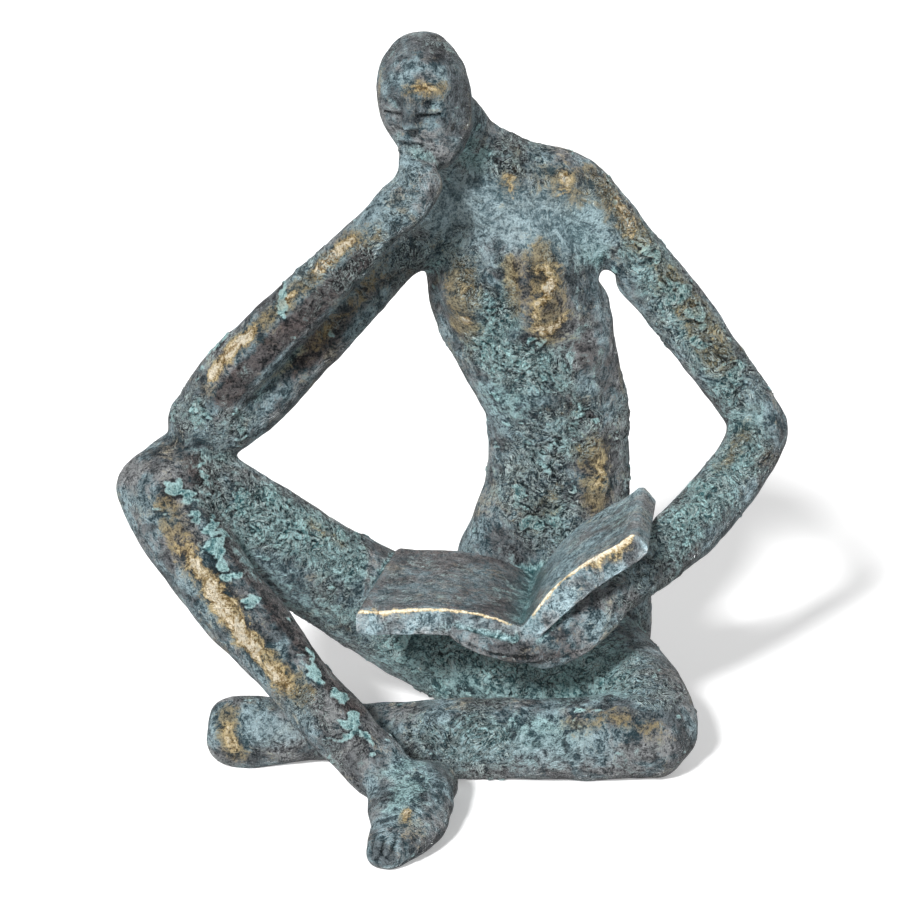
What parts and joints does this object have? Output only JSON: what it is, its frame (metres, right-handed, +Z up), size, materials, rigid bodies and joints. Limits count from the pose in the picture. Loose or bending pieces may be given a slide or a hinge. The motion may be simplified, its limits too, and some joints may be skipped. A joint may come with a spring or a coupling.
{
  "type": "reading figure",
  "caption": "Seated cross-legged figure resting its chin on one hand and reading an open book, rough cast with a verdigris patina, for a shelf or desk.",
  "frame": {"origin": "middle of the bounding box's underside, on the surface that the figure sits on", "axes": "+Z up, -Y towards the viewer whom the book and the face front, +X towards the figure's left hand"},
  "size_m": [0.2812, 0.2086, 0.3],
  "materials": {
    "patina": "rough painted cast resin: slate blue-grey ground, pale teal verdigris in the hollows, worn gold on the ridges"
  },
  "bodies": {
    "root": {"reading_figure": "patina"}
  },
  "joints": []
}
